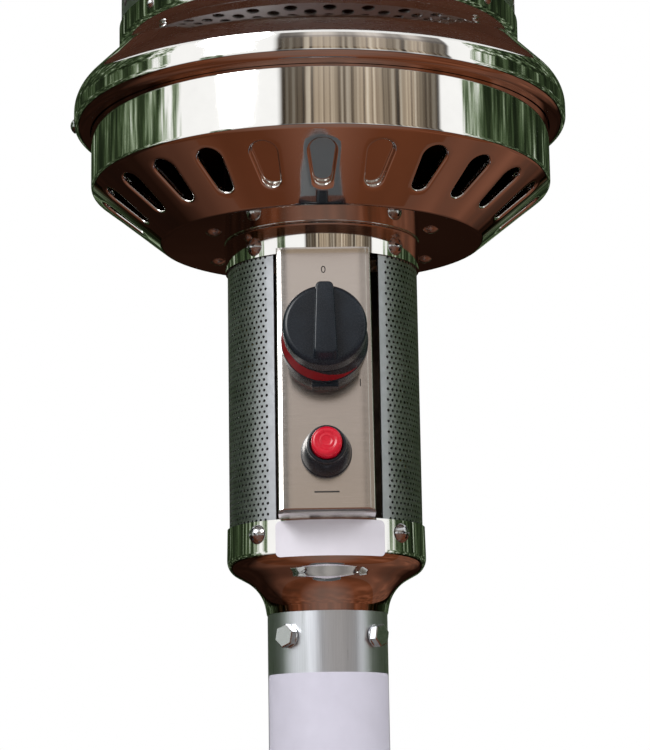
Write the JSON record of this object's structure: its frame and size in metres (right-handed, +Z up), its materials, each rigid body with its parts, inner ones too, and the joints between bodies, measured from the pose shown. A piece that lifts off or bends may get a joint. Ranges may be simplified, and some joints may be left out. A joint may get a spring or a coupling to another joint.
{
  "type": "propane patio heater",
  "caption": "Free-standing gas patio heater: weighted wheeled base, lifting tank housing, post, perforated control head with knob and igniter, slotted burner pan and dished reflector.",
  "frame": {"origin": "on the floor, under the axis of the post", "axes": "+Z up along the post, the control panel faces -Y, +X to the right of someone who faces the panel"},
  "size_m": [0.813, 0.813, 2.2256],
  "materials": {
    "polished_steel": "mirror-polished stainless sheet",
    "satin_steel": "satin stainless sheet and tube",
    "panel_steel": "bright-rolled stainless panel",
    "painted_steel": "textured powder coat",
    "zinc_steel": "zinc-plated fasteners",
    "foot_rubber": "matte rubber",
    "wheel_rubber": "matte moulded wheel",
    "black_plastic": "satin black moulding",
    "red_plastic": "gloss red moulding",
    "red_print": "red inlay",
    "valve_brass": "machined brass",
    "burner_iron": "cast, dark",
    "white_ceramic": "glazed ceramic insulator",
    "bright_aluminium": "spun aluminium"
  },
  "bodies": {
    "root": {"base_plate": "painted_steel", "base_feet": "foot_rubber", "wheel_bracket": "painted_steel", "wheel_bolts": "zinc_steel", "wheel_axle": "zinc_steel", "leg_left": "painted_steel", "leg_right": "painted_steel", "leg_rear": "painted_steel", "leg_bolts": "zinc_steel", "post_socket": "painted_steel", "socket_bolts": "zinc_steel", "post": "satin_steel", "post_bolts": "zinc_steel", "neck_cup": "polished_steel", "perforated_sleeve": "satin_steel", "wind_shield": "satin_steel", "control_panel": "panel_steel", "upper_collar": "polished_steel", "housing_screws": "zinc_steel", "burner_pan": "polished_steel", "slot_covers": "polished_steel", "burner_baffle": "satin_steel", "pan_screws": "zinc_steel", "pan_rivets": "zinc_steel", "shoulder_ring": "polished_steel", "ring_screws": "zinc_steel", "dial_ring": "black_plastic", "heat_scale": "red_print", "stem_spring": "zinc_steel", "valve_cap": "zinc_steel", "valve_body": "valve_brass", "valve_screws": "zinc_steel", "inlet_fitting": "valve_brass", "tilt_switch": "black_plastic", "igniter_nut": "black_plastic", "igniter_body": "black_plastic", "igniter_spring": "zinc_steel", "gas_tube": "satin_steel", "burner_jet": "valve_brass", "burner_mount": "satin_steel", "venturi": "satin_steel", "burner_head": "burner_iron", "pilot_bracket": "satin_steel", "pilot_tube": "valve_brass", "pilot_burner": "zinc_steel", "thermocouple": "valve_brass", "spark_electrode": "white_ceramic", "emitter_screen": "satin_steel", "emitter_cap": "satin_steel", "emitter_screws": "zinc_steel", "reflector_studs": "zinc_steel", "reflector": "bright_aluminium", "wing_nuts": "zinc_steel"},
    "valve_plug": {"valve_plug": "valve_brass"},
    "control_knob": {"control_knob": "black_plastic", "valve_stem": "satin_steel"},
    "igniter_button": {"igniter_button": "red_plastic"},
    "tank_housing": {"tank_housing": "satin_steel", "housing_lid": "painted_steel", "lid_screws": "zinc_steel"},
    "wheel_left": {"wheel_left": "wheel_rubber"},
    "wheel_right": {"wheel_right": "wheel_rubber"}
  },
  "joints": [
    {"name": "knob_turn", "type": "hinge", "parent": "root", "child": "valve_plug", "pos_m": [0, -0.05693, 1.7368], "axis": [0, -0.9925, 0.1219], "range_deg": [0, 220]},
    {"name": "knob_push", "type": "slide", "parent": "valve_plug", "child": "control_knob", "axis": [0, 0.9925, -0.1219], "range_m": [0, 0.003], "stiffness_N_per_m": 1500, "springref_m": -0.001, "deforming": ["stem_spring"]},
    {"name": "igniter_press", "type": "slide", "parent": "root", "child": "igniter_button", "axis": [0, 0.9925, -0.1219], "range_m": [0, 0.006], "stiffness_N_per_m": 900, "springref_m": -0.002, "deforming": ["igniter_spring"]},
    {"name": "tank_housing_lift", "type": "slide", "parent": "root", "child": "tank_housing", "axis": [0, 0, 1], "range_m": [0, 0.5]},
    {"name": "wheel_left_spin", "type": "hinge", "parent": "root", "child": "wheel_left", "pos_m": [-0.075, 0.2643, 0.03], "axis": [1, 0, 0], "continuous": true},
    {"name": "wheel_right_spin", "type": "hinge", "parent": "root", "child": "wheel_right", "pos_m": [0.075, 0.2643, 0.03], "axis": [1, 0, 0], "continuous": true}
  ]
}
